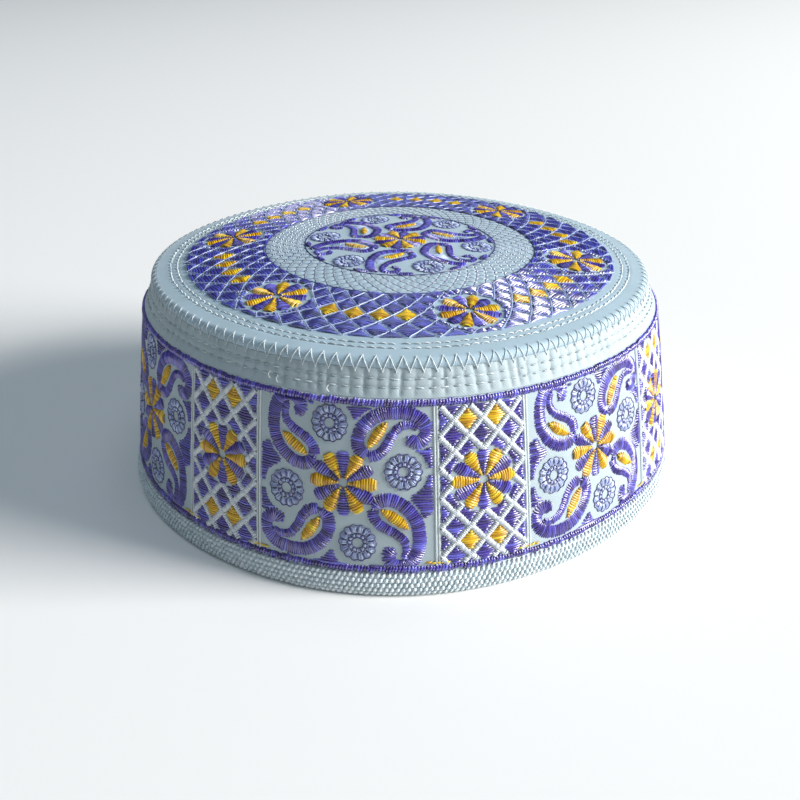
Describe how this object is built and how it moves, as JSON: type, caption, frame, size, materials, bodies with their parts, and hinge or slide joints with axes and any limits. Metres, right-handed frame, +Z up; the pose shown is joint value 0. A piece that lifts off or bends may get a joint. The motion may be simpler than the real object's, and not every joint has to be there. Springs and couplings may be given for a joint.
{
  "type": "embroidered prayer cap",
  "caption": "Stiff round brimless prayer cap with a shallow domed crown, a gathered strip, an embroidered wall and a quilted hem, open below for the head.",
  "frame": {"origin": "centre of the rim, on the surface that the cap stands on", "axes": "+Z up through the middle of the crown, -Y towards the viewer of the front, +X to the right"},
  "size_m": [0.1878, 0.1879, 0.0754],
  "materials": {
    "white_cloth": "off-white polyester cloth with rows of machine stitching",
    "embroidery": "glossy violet and gold rayon embroidery thread on white cloth",
    "violet_thread": "glossy violet satin stitch",
    "gold_thread": "glossy gold satin stitch",
    "white_thread": "white sewing and embroidery thread"
  },
  "bodies": {
    "root": {"hem": "white_cloth", "embroidered_band": "embroidery", "gathered_strip": "white_cloth", "crown": "embroidery"}
  },
  "joints": []
}
